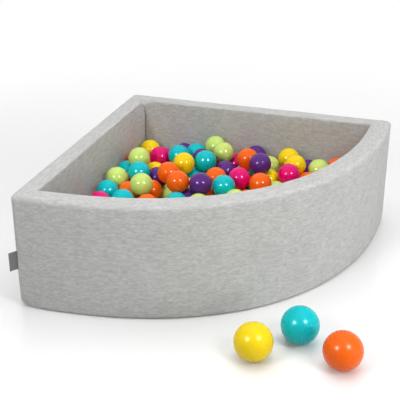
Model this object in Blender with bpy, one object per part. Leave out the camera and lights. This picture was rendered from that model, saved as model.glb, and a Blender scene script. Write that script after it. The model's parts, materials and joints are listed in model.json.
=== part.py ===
"""Corner ball pit: three foam walls in jersey sleeves round a quarter circle, a base mat and a heap of balls.

The floor is the plane z = 0. The origin is the middle of the square that the two straight walls span.
x runs to the right along the back wall and y runs towards it. The round front faces -y and +x.
"""
import math

import bmesh
import bpy
import numpy as np
from mathutils import Matrix
from mathutils.bvhtree import BVHTree

# Clearance between pieces that touch
GAP = 0.0003
SHARP_ANGLE = math.radians(40)

# Walls, measured over their cloth
SIDE = 0.90
HEIGHT = 0.342
WALL = 0.0575
FRONT_WALL = 0.0625
CLOTH = 0.0015
RIM_ROUND = 0.012
RIM_INNER_ROUND = 0.005
FOOT_ROUND = 0.008
TIP_ROUND = 0.018

# The front's curve: half of the angle it turns through, and how much more it bends in its middle
FRONT_HALF_TURN = math.radians(47.5)
FRONT_BEND_SHARE = 0.315
FRONT_STEPS = 28
CURVE_SAMPLES = 112
ARC_STEPS = 3

# Base mat
MAT_FOAM = 0.030

# Balls in the pit, the larger loose ones, and the heap that the first ones form
BALL_RADIUS = 0.035
BALL_SEGMENTS = 12
BALL_RINGS = 8
LOOSE_RADIUS = 0.0515
LOOSE_SEGMENTS = 16
LOOSE_RINGS = 10
HEAP_LEVEL = 0.186
HEAP_FILL_DROP = 0.026
HEAP_HIDDEN_DROP = 0.012
HEAP_LOWEST_SHARE = 0.5
HEAP_ROOM_SHARE = 0.93
HEAP_SNUG_SHARE = 0.15
HEAP_SEARCH_STEPS = 4
HEAP_CLEARANCE = 0.0012
HEAD_SEGMENTS = 8
HEAD_LEVEL_SHARES = (0.30, 0.55, 0.78)
HEAD_NECK_SHARE = 0.85
SETTLE_STEPS = 500
SETTLE_HOLD_SHARE = 0.02
SETTLE_PUSH_SHARE = 0.35
PLACE_DIGITS = 5

# Places of the top balls: shares of the inner side along the back wall and towards the front,
# and how far they lie above the heap's level, in ball radii
TOP_BALL_SHARES = {
    "yellow": ((0.28, 0.28, 1.0), (0.63, 0.07, 0.8)),
    "pink": ((0.14, 0.18, 0.7), (0.51, 0.33, 1.0), (0.67, 0.23, 1.2)),
    "green": (
        (0.08, 0.30, 1.0), (0.18, 0.50, 1.2), (0.37, 0.11, 1.4),
        (0.33, 0.08, 1.0), (0.76, 0.11, 0.5), (0.06, 0.45, 0.7),
    ),
    "turquoise": (
        (0.13, 0.39, 1.1), (0.34, 0.24, 1.2), (0.47, 0.42, 1.2),
        (0.21, 0.18, 1.0), (0.06, 0.52, 0.4),
    ),
    "orange": ((0.31, 0.46, 1.4), (0.25, 0.39, 1.1), (0.58, 0.34, 1.1), (0.49, 0.17, 1.0)),
    "purple": ((0.39, 0.45, 1.4), (0.57, 0.24, 1.3)),
}
# Places of the balls beside and below them, whose heads the heap's solid carries
HEAD_SHARES = (
    (0.05, 0.06, -0.1), (0.14, 0.24, 0.1), (0.59, 0.22, 0.4), (0.68, 0.17, 0.5),
    (0.06, 0.59, 0.1), (0.43, 0.09, -0.2), (0.56, 0.10, 0.2), (0.26, 0.41, -0.3),
    (0.40, 0.52, 0.1), (0.53, 0.47, 0.4), (0.05, 0.30, 0.4), (0.15, 0.60, 0.5),
    (0.30, 0.26, 0.2), (0.27, 0.09, 0.5), (0.47, 0.16, -0.1), (0.33, 0.52, 0.0),
    (0.01, 0.20, 0.0), (0.14, 0.47, 0.0), (0.19, 0.44, -0.2), (0.23, 0.57, 0.0),
    (0.41, 0.32, 0.6), (0.64, 0.17, -0.3), (0.82, 0.06, 0.3), (0.41, 0.40, -0.3),
    (0.55, 0.40, -0.3), (0.18, 0.33, 0.0), (0.20, 0.05, -0.1), (0.30, 0.15, 0.6),
    (0.50, 0.06, 0.5), (0.42, 0.20, 0.1), (0.72, 0.18, 0.1), (0.71, 0.06, -0.2),
    (0.35, 0.44, -0.3),
)

# Places of the loose balls on the floor in front, as shares of the side from the origin
LOOSE_BALL_COLOURS = ("yellow", "turquoise", "orange")
LOOSE_BALL_SHARES = ((0.267, -0.549), (0.375, -0.425), (0.515, -0.515))

# Zip along the foot of the back wall's outer face
ZIP_END_MARGIN = 0.09
ZIP_HEIGHT = 0.045
ZIP_CHAIN_WIDTH = 0.0050
ZIP_CHAIN_THICK = 0.0022
ZIP_TAPE_WIDTH = 0.0120
ZIP_TAPE_THICK = 0.0008
ZIP_STOP_LENGTH = 0.0040
SLIDER_LENGTH = 0.0130
SLIDER_WIDTH = 0.0090
SLIDER_ROOF = 0.0014
EAR_LENGTH = 0.0030
EAR_THICK = 0.0014
EAR_HEIGHT = 0.0030
PULL_WIDTH = 0.0050
PULL_LENGTH = 0.0300
PULL_THICK = 0.0012

# Label tab in the left tip's seam
LABEL_REACH = 0.0235
LABEL_TALL = 0.0565
LABEL_THICK = 0.0010
LABEL_MIDDLE = 0.146

COLOURS = {
    "jersey": (0.62, 0.63, 0.61),
    "foam": (0.86, 0.84, 0.76),
    "label": (0.10, 0.11, 0.11),
    "zip": (0.52, 0.53, 0.52),
    "metal": (0.60, 0.61, 0.62),
    "yellow": (0.95, 0.64, 0.01),
    "pink": (0.76, 0.0, 0.14),
    "green": (0.48, 0.72, 0.15),
    "turquoise": (0.0, 0.48, 0.51),
    "orange": (1.0, 0.09, 0.002),
    "purple": (0.10, 0.03, 0.20),
    "heap": (0.30, 0.42, 0.44),
}
ROUGHNESS = {"jersey": 0.95, "foam": 0.9, "label": 0.8, "zip": 0.8, "metal": 0.3, "heap": 0.35}
PLASTIC_ROUGHNESS = 0.22


def clear_scene():
    for item in list(bpy.data.objects):
        bpy.data.objects.remove(item, do_unlink=True)


def material(name):
    made = bpy.data.materials.get(name)
    if made is None:
        made = bpy.data.materials.new(name)
        made.use_nodes = True
        shader = made.node_tree.nodes["Principled BSDF"]
        shader.inputs["Base Color"].default_value = (*COLOURS[name], 1.0)
        shader.inputs["Roughness"].default_value = ROUGHNESS.get(name, PLASTIC_ROUGHNESS)
        shader.inputs["Metallic"].default_value = 1.0 if name == "metal" else 0.0
    return made


def add_object(name, bm, colour, place=(0.0, 0.0, 0.0), smooth=True):
    """Turns a bmesh, drawn round its own origin, into a named object at its place."""
    bmesh.ops.recalc_face_normals(bm, faces=bm.faces)
    mesh = bpy.data.meshes.new(name)
    bm.to_mesh(mesh)
    bm.free()
    if smooth:
        mesh.shade_smooth()
        mesh.set_sharp_from_angle(angle=SHARP_ANGLE)
    item = bpy.data.objects.new(name, mesh)
    item.location = place
    item.data.materials.append(material(colour))
    bpy.context.scene.collection.objects.link(item)
    return item


# Plan

LEFT_TIP = np.array((-SIDE / 2, -SIDE / 2))
BACK_CORNER = np.array((-SIDE / 2, SIDE / 2))
RIGHT_TIP = np.array((SIDE / 2, SIDE / 2))


def unit(vector):
    return vector / np.linalg.norm(vector)


def front_curve(steps):
    """Outer line of the front wall from the left tip to the right one, with its inward normals."""
    share = np.linspace(0.0, 1.0, steps + 1)
    turned = share - FRONT_BEND_SHARE * np.sin(2 * math.pi * share) / (2 * math.pi)
    heading = np.exp(2j * FRONT_HALF_TURN * turned)
    line = np.concatenate([[0.0], np.cumsum((heading[1:] + heading[:-1]) / 2)])
    spread = complex(*(RIGHT_TIP - LEFT_TIP)) / line[-1]
    line = complex(*LEFT_TIP) + line * spread
    inward = heading * spread / abs(spread) * 1j
    return np.column_stack([line.real, line.imag]), np.column_stack([inward.real, inward.imag])


CURVE, CURVE_INWARD = front_curve(CURVE_SAMPLES)
# The curve's points that the front wall is lofted through, without those that its rounded ends replace
STATIONS = np.linspace(0, CURVE_SAMPLES, FRONT_STEPS + 1).round().astype(int)[2:-2]
LEFT_IN = np.array((1.0, 0.0))
BACK_IN = np.array((0.0, -1.0))
FRONT_START_IN = CURVE_INWARD[0]
FRONT_END_IN = CURVE_INWARD[-1]


def mitre(corner, normal_a, width_a, normal_b, width_b):
    """The point that lies width_a inside one line and width_b inside the other at a corner."""
    return corner + np.linalg.solve(np.array([normal_a, normal_b]), np.array([width_a, width_b]))


INNER_BACK = mitre(BACK_CORNER, LEFT_IN, WALL, BACK_IN, WALL)
INNER_LEFT = mitre(LEFT_TIP, LEFT_IN, WALL, FRONT_START_IN, FRONT_WALL)
INNER_RIGHT = mitre(RIGHT_TIP, BACK_IN, WALL, FRONT_END_IN, FRONT_WALL)


def corner_stations(corner, inner, own_in, other_in, own_way):
    """Outer and inner points from where a wall starts to round its end to the seam in its middle.

    own_way points along the wall, away from the corner.
    """
    middle = corner + TIP_ROUND * (own_in + other_in) / (1 + own_in @ other_in)
    seam = unit(inner - corner)
    turn_from = own_in
    turn_to = unit(own_in + other_in)
    pull_back = own_way * GAP / 2 / abs(own_way[0] * seam[1] - own_way[1] * seam[0])
    outers = []
    inners = []
    for step in range(ARC_STEPS + 1):
        share = step / ARC_STEPS
        facing = unit(turn_from * (1 - share) + turn_to * share)
        outers.append(middle - TIP_ROUND * facing)
        inners.append(inner + own_way * TIP_ROUND * (1 - share))
    outers[-1] = outers[-1] + pull_back
    inners[-1] = inners[-1] + pull_back
    return outers, inners


def straight_rails(corner_a, inner_a, other_a, corner_b, inner_b, other_b, own_in):
    """Outer and inner plan lines of a straight wall between two seams."""
    way = unit(corner_b - corner_a)
    outer_a, in_a = corner_stations(corner_a, inner_a, own_in, other_a, way)
    outer_b, in_b = corner_stations(corner_b, inner_b, own_in, other_b, -way)
    return np.array(outer_a[::-1] + outer_b), np.array(in_a[::-1] + in_b)


def front_rails():
    start_way = np.array((FRONT_START_IN[1], -FRONT_START_IN[0]))
    end_way = np.array((-FRONT_END_IN[1], FRONT_END_IN[0]))
    outer_a, in_a = corner_stations(LEFT_TIP, INNER_LEFT, FRONT_START_IN, LEFT_IN, start_way)
    outer_b, in_b = corner_stations(RIGHT_TIP, INNER_RIGHT, FRONT_END_IN, BACK_IN, end_way)
    outer = np.vstack([outer_a[::-1], CURVE[STATIONS], outer_b])
    inner = np.vstack([in_a[::-1], CURVE[STATIONS] + FRONT_WALL * CURVE_INWARD[STATIONS], in_b])
    return outer, inner


def inner_outline(inset):
    """Closed plan line inside the walls, drawn in by inset."""
    points = CURVE[STATIONS] + FRONT_WALL * CURVE_INWARD[STATIONS]
    return inset_outline(np.vstack([[INNER_BACK], [INNER_LEFT], points, [INNER_RIGHT]]), inset)


def inset_outline(line, inset):
    """Moves each point of a counter-clockwise outline inwards along its corner's mitre."""
    before = line - np.roll(line, 1, axis=0)
    after = np.roll(line, -1, axis=0) - line
    drawn = []
    for point, came, goes in zip(line, before, after):
        in_a = unit(np.array((-came[1], came[0])))
        in_b = unit(np.array((-goes[1], goes[0])))
        drawn.append(point + inset * (in_a + in_b) / (1 + in_a @ in_b))
    return np.array(drawn)


# Lofted walls

def arc(centre, radius, start, end, steps):
    """Points of a round between two angles in degrees, in the wall's section."""
    angles = np.radians(np.linspace(start, end, steps + 1))
    return [(centre[0] + radius * math.cos(a), centre[1] + radius * math.sin(a)) for a in angles]


def wall_section(inset):
    """Section of a straight wall: distance from its outer face, and height. Drawn in by inset."""
    low = CLOTH + GAP
    foot = arc((FOOT_ROUND, low + FOOT_ROUND), FOOT_ROUND - inset, 270, 180, ARC_STEPS)
    outer = arc((RIM_ROUND, HEIGHT - RIM_ROUND), RIM_ROUND - inset, 180, 90, ARC_STEPS + 1)
    rim_middle = (WALL - RIM_INNER_ROUND, HEIGHT - RIM_INNER_ROUND)
    inner = arc(rim_middle, RIM_INNER_ROUND - inset, 90, 0, ARC_STEPS - 1)
    return foot + outer + inner + [(WALL - inset, low + inset)]


def loft_points(bm, rails, section):
    """One ring of vertices for each station of the rails. Distances are shares of the wall's width."""
    outer, inner = rails
    rings = []
    for out_point, in_point in zip(outer, inner):
        ring = []
        for distance, height in section:
            place = out_point + (in_point - out_point) * distance / WALL
            ring.append(bm.verts.new((place[0], place[1], height)))
        rings.append(ring)
    return rings


def skin(bm, rings):
    count = len(rings[0])
    for here, there in zip(rings[:-1], rings[1:]):
        for k in range(count):
            bm.faces.new((here[k], here[(k + 1) % count], there[(k + 1) % count], there[k]))


def add_sleeve(name, rails):
    """Cloth tube round a foam wall, open at both seams."""
    bm = bmesh.new()
    outside = loft_points(bm, rails, wall_section(0.0))
    inside = loft_points(bm, rails, wall_section(CLOTH))
    skin(bm, outside)
    skin(bm, inside)
    count = len(outside[0])
    for end in (0, -1):
        for k in range(count):
            n = (k + 1) % count
            bm.faces.new((outside[end][k], outside[end][n], inside[end][n], inside[end][k]))
    return add_object(name, bm, "jersey")


def add_foam_wall(name, rails):
    bm = bmesh.new()
    rings = loft_points(bm, rails, wall_section(CLOTH + GAP))
    skin(bm, rings)
    bm.faces.new(rings[0])
    bm.faces.new(rings[-1])
    return add_object(name, bm, "foam")


def add_plate(name, outline, low, high, colour):
    bm = bmesh.new()
    rings = [[bm.verts.new((x, y, z)) for x, y in outline] for z in (low, high)]
    skin(bm, rings)
    bm.faces.new(rings[0])
    bm.faces.new(rings[1])
    return add_object(name, bm, colour)


def add_walls():
    left = straight_rails(BACK_CORNER, INNER_BACK, BACK_IN, LEFT_TIP, INNER_LEFT, FRONT_START_IN, LEFT_IN)
    back = straight_rails(BACK_CORNER, INNER_BACK, LEFT_IN, RIGHT_TIP, INNER_RIGHT, FRONT_END_IN, BACK_IN)
    front = front_rails()
    for side, rails in (("left", left), ("back", back), ("front", front)):
        add_sleeve("cover_" + side, rails)
        add_foam_wall("foam_wall_" + side, rails)
    return left, back, front


def add_base(left, back, front):
    """Underside cloth below the walls, and the base mat with its floor cloth between them."""
    outline = np.vstack([left[0], front[0][1:-1], back[0][::-1]])
    add_plate("cover_underside", inset_outline(outline, FOOT_ROUND), 0.0, CLOTH, "jersey")
    inside = inner_outline(GAP)
    foam_low = CLOTH + GAP
    foam_high = foam_low + MAT_FOAM
    add_plate("base_mat_foam", inside, foam_low, foam_high, "foam")
    add_plate("cover_floor", inside, foam_high + GAP, foam_high + GAP + CLOTH, "jersey")
    return foam_high + GAP + CLOTH


# Balls

def from_shares(shares):
    """Places from shares of the inner side, counted from the inner back corner, and rises in ball radii."""
    inner = SIDE - WALL
    return [(INNER_BACK[0] + u * inner, INNER_BACK[1] - v * inner, HEAP_LEVEL + rise * BALL_RADIUS)
            for u, v, rise in shares]


def keep_inside(places, margin):
    """Moves plan places in from the walls' inner faces by a margin."""
    places[:, 0] = np.maximum(places[:, 0], INNER_BACK[0] + margin)
    places[:, 1] = np.minimum(places[:, 1], INNER_BACK[1] - margin)
    away = places[:, None, :2] - CURVE[None]
    near = (away**2).sum(axis=2).argmin(axis=1)
    depth = (away[np.arange(len(places)), near] * CURVE_INWARD[near]).sum(axis=1)
    short = np.maximum(FRONT_WALL + margin - depth, 0.0)
    places[:, :2] += short[:, None] * CURVE_INWARD[near]


def hidden_heads(tops, heads):
    """Places of the balls under and between the seen ones.

    One after the other takes the spot where it can lie highest below the top balls, beside the
    other heads and close to its neighbours.
    """
    steps = int(SIDE / BALL_RADIUS * HEAP_SEARCH_STEPS)
    line = np.linspace(-SIDE / 2, SIDE / 2, steps + 1)
    spots = np.array([(x, y) for y in line[::-1] for x in line])
    keep_inside(spots, BALL_RADIUS + HEAP_CLEARANCE)
    room = 2 * (BALL_RADIUS + GAP)
    apart = np.linalg.norm(spots[:, None] - tops[None, :, :2], axis=2)
    below = tops[:, 2] - np.sqrt(np.maximum(room**2 - apart**2, 0.0))
    level = np.where(apart < room, below, HEAP_LEVEL).min(axis=1)
    level = np.minimum(level, HEAP_LEVEL - HEAP_HIDDEN_DROP)
    lowest = HEAP_LEVEL - HEAP_FILL_DROP - HEAP_LOWEST_SHARE * BALL_RADIUS
    placed = list(heads)
    while True:
        nearest = np.linalg.norm(spots[:, None] - np.array(placed)[None, :, :2], axis=2).min(axis=1)
        score = level - HEAP_SNUG_SHARE * nearest
        score[(nearest < room * HEAP_ROOM_SHARE) | (level < lowest)] = -np.inf
        best = score.argmax()
        if score[best] == -np.inf:
            return np.array(placed)
        placed.append((*spots[best], level[best]))


def settled_heap():
    """Places of the top balls and of the heads below them, pushed apart where they would meet."""
    tops = [place for colour in TOP_BALL_SHARES for place in from_shares(TOP_BALL_SHARES[colour])]
    targets = np.array(tops + from_shares(HEAD_SHARES))
    is_top = np.arange(len(targets)) < len(tops)
    places = targets.copy()
    across = np.where(is_top[:, None] & is_top[None], 0.0, 1.0)
    room = 2 * (BALL_RADIUS + GAP)
    itself = np.eye(len(targets))
    for step in range(SETTLE_STEPS):
        hold = SETTLE_HOLD_SHARE if step < SETTLE_STEPS / 2 else 0.0
        places += hold * (targets - places)
        apart = places[:, None] - places[None]
        apart[:, :, 2] *= across
        distance = np.sqrt((apart**2).sum(axis=2)) + itself
        lap = np.maximum(room - distance, 0.0) * (1 - itself)
        places += (SETTLE_PUSH_SHARE * (lap / distance)[:, :, None] * apart).sum(axis=1)
        keep_inside(places, BALL_RADIUS + HEAP_CLEARANCE)
    heads = hidden_heads(places[is_top], places[~is_top])
    return places[is_top].round(PLACE_DIGITS), heads.round(PLACE_DIGITS)


def add_heap(floor, heads):
    """One closed solid for the balls below the top ones: a filling with the heads standing out of it."""
    bm = bmesh.new()
    top = HEAP_LEVEL - HEAP_FILL_DROP
    outline = inner_outline(HEAP_CLEARANCE)
    low_ring = [bm.verts.new((x, y, floor + GAP)) for x, y in outline]
    high_ring = [bm.verts.new((x, y, top)) for x, y in outline]
    skin(bm, [low_ring, high_ring])
    bm.faces.new(low_ring)
    edges = [bm.edges.get((a, b)) for a, b in zip(high_ring, high_ring[1:] + high_ring[:1])]
    for index, (x, y, z) in enumerate(heads):
        others = np.delete(heads, index, axis=0)[:, :2]
        nearest = np.sqrt(((others - (x, y))**2).sum(axis=1)).min()
        start = math.asin(max((top - z) / BALL_RADIUS, -HEAD_NECK_SHARE))
        widest = nearest / 2 - GAP / 2
        reaches = [min(BALL_RADIUS * math.cos(start), widest)]
        heights = [top]
        for share in HEAD_LEVEL_SHARES:
            rise = start + (math.pi / 2 - start) * share
            reaches.append(min(BALL_RADIUS * math.cos(rise), widest))
            heights.append(z + BALL_RADIUS * math.sin(rise))
        turns = [2 * math.pi * k / HEAD_SEGMENTS for k in range(HEAD_SEGMENTS)]
        rings = [[bm.verts.new((x + reach * math.cos(a), y + reach * math.sin(a), height)) for a in turns]
                 for reach, height in zip(reaches, heights)]
        pole = bm.verts.new((x, y, z + BALL_RADIUS))
        skin(bm, rings)
        for a, b in zip(rings[-1], rings[-1][1:] + rings[-1][:1]):
            bm.faces.new((a, b, pole))
        edges += [bm.edges.get((a, b)) for a, b in zip(rings[0], rings[0][1:] + rings[0][:1])]
    bmesh.ops.triangle_fill(bm, use_beauty=True, use_dissolve=False, edges=edges)
    return add_object("ball_heap", bm, "heap")


def ball_mesh(radius, segments, rings):
    bm = bmesh.new()
    bmesh.ops.create_uvsphere(bm, u_segments=segments, v_segments=rings, radius=radius)
    return bm


def world_tree(bm, place):
    moved = bm.copy()
    bmesh.ops.transform(moved, matrix=Matrix.Translation(place), verts=moved.verts)
    tree = BVHTree.FromBMesh(moved)
    moved.free()
    return tree


def rest_height(bm, x, y, below, floor):
    """Lowest height at which a ball stands clear of the solid below it, found by halving."""
    low = floor + BALL_RADIUS
    high = HEAP_LEVEL + 3 * BALL_RADIUS
    if not world_tree(bm, (x, y, low)).overlap(below):
        return low
    while high - low > GAP / 10:
        middle = (low + high) / 2
        if world_tree(bm, (x, y, middle)).overlap(below):
            low = middle
        else:
            high = middle
    return high + GAP


def add_balls(floor):
    tops, heads = settled_heap()
    heap = add_heap(floor, heads)
    below = BVHTree.FromPolygons([v.co for v in heap.data.vertices], [p.vertices for p in heap.data.polygons])
    colours = [colour for colour in TOP_BALL_SHARES for _ in TOP_BALL_SHARES[colour]]
    counts = {}
    for (x, y, _), colour in zip(tops, colours):
        counts[colour] = counts.get(colour, 0) + 1
        bm = ball_mesh(BALL_RADIUS, BALL_SEGMENTS, BALL_RINGS)
        height = rest_height(bm, x, y, below, HEAP_LEVEL - HEAP_FILL_DROP + GAP)
        add_object(f"ball_{colour}_{counts[colour]}", bm, colour, (x, y, height))
    for colour, (u, v) in zip(LOOSE_BALL_COLOURS, LOOSE_BALL_SHARES):
        bm = ball_mesh(LOOSE_RADIUS, LOOSE_SEGMENTS, LOOSE_RINGS)
        add_object(f"loose_ball_{colour}", bm, colour, (u * SIDE, v * SIDE, LOOSE_RADIUS))


# Zip and label

def box(bm, low, high):
    corners = [(x, y, z) for x in (low[0], high[0]) for y in (low[1], high[1]) for z in (low[2], high[2])]
    v = [bm.verts.new(corner) for corner in corners]
    for face in ((0, 1, 3, 2), (4, 6, 7, 5), (0, 4, 5, 1), (2, 3, 7, 6), (0, 2, 6, 4), (1, 5, 7, 3)):
        bm.faces.new([v[k] for k in face])


def add_box(name, low, high, colour, place=(0.0, 0.0, 0.0)):
    bm = bmesh.new()
    box(bm, low, high)
    return add_object(name, bm, colour, place, smooth=False)


def add_zip():
    """Tapes, chain and stops on the back wall's outer face, and a slider that straddles the chain."""
    face = SIDE / 2 + GAP
    tape_out = face + ZIP_TAPE_THICK
    chain_out = face + ZIP_CHAIN_THICK
    half = SIDE / 2 - ZIP_END_MARGIN
    chain_half = ZIP_CHAIN_WIDTH / 2
    tape_near = chain_half + GAP
    tape_far = tape_near + ZIP_TAPE_WIDTH
    tapes = (("zip_tape_upper", tape_near, tape_far), ("zip_tape_lower", -tape_far, -tape_near))
    for name, low, high in tapes:
        add_box(name, (-half, face, ZIP_HEIGHT + low), (half, tape_out, ZIP_HEIGHT + high), "zip")
    chain_end = half - ZIP_STOP_LENGTH - GAP
    add_box("zip_chain", (-chain_end, face, ZIP_HEIGHT - chain_half),
            (chain_end, chain_out, ZIP_HEIGHT + chain_half), "zip")
    for name, way in (("zip_stop_left", -1), ("zip_stop_right", 1)):
        ends = sorted((way * half, way * (half - ZIP_STOP_LENGTH)))
        add_box(name, (ends[0], face, ZIP_HEIGHT - chain_half),
                (ends[1], chain_out, ZIP_HEIGHT + chain_half), "metal")
    add_slider(tape_out + GAP, chain_out + GAP, chain_half + GAP, -chain_end + SLIDER_LENGTH / 2)


def add_slider(foot, roof, groove, start):
    """Slider and pull tab at the closed end of the chain. The tab turns about a pin along z."""
    out = roof + SLIDER_ROOF
    ear_out = out + EAR_HEIGHT
    half_width = SLIDER_WIDTH / 2
    section = [(foot, -half_width), (out, -half_width), (out, half_width), (foot, half_width),
               (foot, groove), (roof, groove), (roof, -groove), (foot, -groove)]
    bm = bmesh.new()
    rings = [[bm.verts.new((x, y - foot, z)) for y, z in section]
             for x in (-SLIDER_LENGTH / 2, SLIDER_LENGTH / 2)]
    skin(bm, rings)
    bm.faces.new(rings[0])
    bm.faces.new(rings[1])
    slider = add_object("zip_slider", bm, "metal", (start, foot, ZIP_HEIGHT), smooth=False)
    ear_in = PULL_WIDTH / 2 + GAP
    for way in (-1, 1):
        ends = sorted((way * ear_in, way * (ear_in + EAR_THICK)))
        ear = bmesh.new()
        box(ear, (-EAR_LENGTH / 2, out - foot - SLIDER_ROOF / 2, ends[0]),
            (EAR_LENGTH / 2, ear_out - foot, ends[1]))
        shape = add_object("slider_ear", ear, "metal", (start, foot, ZIP_HEIGHT), smooth=False)
        shape.hide_render = True
        shape.display_type = "WIRE"
        joined = slider.modifiers.new("ear", "BOOLEAN")
        joined.operation = "UNION"
        joined.object = shape
    add_pull_tab(start, out + GAP + EAR_LENGTH / 2)


def add_pull_tab(x, pin):
    """Flat tab whose round root lies between the slider's ears, on the roof."""
    root = EAR_LENGTH / 2
    flat = root - PULL_THICK
    outline = arc((0.0, 0.0), root, 90, 360, 3 * ARC_STEPS)
    outline += [(root, flat), (PULL_LENGTH, flat), (PULL_LENGTH, root)]
    bm = bmesh.new()
    rings = [[bm.verts.new((px, py, z)) for px, py in outline] for z in (-PULL_WIDTH / 2, PULL_WIDTH / 2)]
    skin(bm, rings)
    bm.faces.new(rings[0])
    bm.faces.new(rings[1])
    add_object("zip_pull_tab", bm, "metal", (x, pin, ZIP_HEIGHT), smooth=False)


def add_label(seam):
    """Folded tab that stands out of the left tip's seam."""
    out = unit(LEFT_TIP - INNER_LEFT)
    bm = bmesh.new()
    box(bm, (GAP, -LABEL_THICK / 2, -LABEL_TALL / 2), (LABEL_REACH, LABEL_THICK / 2, LABEL_TALL / 2))
    bmesh.ops.rotate(bm, cent=(0.0, 0.0, 0.0), matrix=Matrix.Rotation(math.atan2(out[1], out[0]), 3, "Z"),
                     verts=bm.verts)
    add_object("label_tab", bm, "label", (seam[0], seam[1], LABEL_MIDDLE), smooth=False)


def main():
    clear_scene()
    left, back, front = add_walls()
    floor = add_base(left, back, front)
    add_balls(floor)
    add_zip()
    add_label(left[0][-1])


main()
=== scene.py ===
"""Looks of the corner ball pit: foam walls in jersey sleeves, a base mat, and glossy hollow balls.

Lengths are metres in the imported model's own frame. The floor is the plane z = 0.
"""
import json
import math

import bpy
import numpy as np
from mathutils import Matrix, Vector, noise


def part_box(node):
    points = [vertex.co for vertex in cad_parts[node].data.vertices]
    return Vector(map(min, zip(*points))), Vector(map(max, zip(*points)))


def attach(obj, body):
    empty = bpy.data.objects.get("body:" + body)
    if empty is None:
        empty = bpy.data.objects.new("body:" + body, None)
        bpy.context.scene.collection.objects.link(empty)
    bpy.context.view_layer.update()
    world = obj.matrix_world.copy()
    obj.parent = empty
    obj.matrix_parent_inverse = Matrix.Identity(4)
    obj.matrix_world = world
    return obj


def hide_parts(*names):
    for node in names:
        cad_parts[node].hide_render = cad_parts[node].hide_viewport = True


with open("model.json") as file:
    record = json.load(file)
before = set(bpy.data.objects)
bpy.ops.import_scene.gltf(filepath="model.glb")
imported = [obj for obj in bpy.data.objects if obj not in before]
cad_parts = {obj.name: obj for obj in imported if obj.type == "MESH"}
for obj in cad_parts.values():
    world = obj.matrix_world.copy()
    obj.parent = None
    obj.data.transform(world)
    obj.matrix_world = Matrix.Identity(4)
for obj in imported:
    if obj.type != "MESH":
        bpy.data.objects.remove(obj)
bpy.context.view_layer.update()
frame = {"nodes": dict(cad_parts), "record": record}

# The photograph's view: a square picture, PHOTO_PX on a side
PHOTO_PX = 400
FOCAL_PX = 884.0
SENSOR_MM = 36.0
CAMERA_PLACE = Vector((0.683, -2.321, 1.331))
CAMERA_TURN = math.radians(17.75)
CAMERA_TILT = math.radians(25.20)

# Walls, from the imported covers
WALL_LOW, WALL_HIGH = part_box("cover_left")
SIDE = -2 * WALL_LOW.x
WALL = WALL_HIGH.x - WALL_LOW.x
HEIGHT = WALL_HIGH.z
FOOT = WALL_LOW.z
FRONT_WALL = 0.0625
FRONT_HALF_TURN = math.radians(47.5)
FRONT_BEND_SHARE = 0.315
RIM_ROUND = 0.012
RIM_INNER_ROUND = 0.005
FOOT_ROUND = 0.008
TIP_FOOT_ROUND = 0.020
TIP_FOOT_REACH = TIP_FOOT_ROUND * 1.4
TIP_ROUND = 0.018
BACK_CORNER_ROUND = 0.008
# How finely the plan lines and the cloth are divided
CURVE_STEPS = 400
OUTLINE_STEP = 8
GRID = 0.009
TIP_STEPS = 10
ARC_STEPS = 6

# Foam and flat cloths
CLOTH = 0.0015
CORE_GAP = 0.0015
CORE_STEP = 3
MAT_GAP = 0.001
MAT_ROUND = 0.004
UNDERSIDE_INSET = 0.006
PLATE_RINGS = 5

# The sleeves' own shape: swellings, seams, creases in the inner corners, and the back one's soft top.
# Limits are the two ends of a smooth change
SWELL = 0.0011
SWELL_SCALE = 6.0
RIPPLE = 0.00035
RIPPLE_SCALE = 24.0
RIPPLE_SHIFT = 5.0
SLOPE_LIMITS = (0.55, 0.95)
INSIDE_LIMITS = (WALL * 0.5, WALL * 0.97)
SEAM_WIDTH = 0.0022
SEAM_DEPTH = 0.0013
PUCKER = 0.0005
PUCKER_PITCH = 0.017
PUCKER_REACH = 0.015
CREASE_WIDTH = 0.0017
CREASE_DEPTH = 0.010
CREASE_LIMITS = (0.022, 0.055)
CORNER_RIM_ROUND = 0.014
CORNER_SOFT_REACH = 0.030
FILLET_REACH = 0.030
FILLET_DEPTH = 0.010
FILLET_LIMITS = (0.012, 0.070)
CORNER_LEAN = 0.006
CORNER_LEAN_REACH = 0.030

# Edges that turn by more degrees than this are drawn sharp
CLOTH_SHARP = 60
FOAM_SHARP = 50
PLATE_SHARP = 40
STRIP_SHARP = 50
METAL_SHARP = 35

# Balls. Cuts are the segments round a ball and its rings
BALL_RADIUS = 0.035
SINGLE_CUTS = (56, 30)
LEVEL_CUTS = {"upper": (40, 20), "lower": (24, 12)}
MOULD_SEAM = 0.00010
MOULD_SEAM_HALF = math.radians(1.1)
# A head that lies lower than its neighbours: its shares, as below, and how far it sinks
SUNK_HEAD = (0.14, 0.24)
SUNK_DEPTH = 0.014
# Heads of the heap whose colour can be seen: shares of the inner side, along the back wall, then to the front
HEAD_SHARES = {
    "yellow": ((0.05, 0.06), (0.14, 0.24), (0.59, 0.22), (0.68, 0.17)),
    "pink": ((0.06, 0.59), (0.43, 0.09)),
    "green": ((0.56, 0.10), (0.26, 0.41), (0.40, 0.52), (0.53, 0.47)),
    "turquoise": ((0.05, 0.30), (0.15, 0.60), (0.30, 0.26), (0.27, 0.09), (0.47, 0.16), (0.33, 0.52)),
    "orange": ((0.01, 0.20), (0.14, 0.47), (0.19, 0.44), (0.23, 0.57), (0.41, 0.32), (0.64, 0.17),
               (0.82, 0.06), (0.41, 0.40), (0.55, 0.40)),
    "purple": ((0.18, 0.33), (0.20, 0.05), (0.30, 0.15), (0.50, 0.06), (0.42, 0.20), (0.72, 0.18),
               (0.71, 0.06), (0.35, 0.44)),
}
HEAD_REACH = BALL_RADIUS * 0.8
COLOUR_SEED = 5
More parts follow.
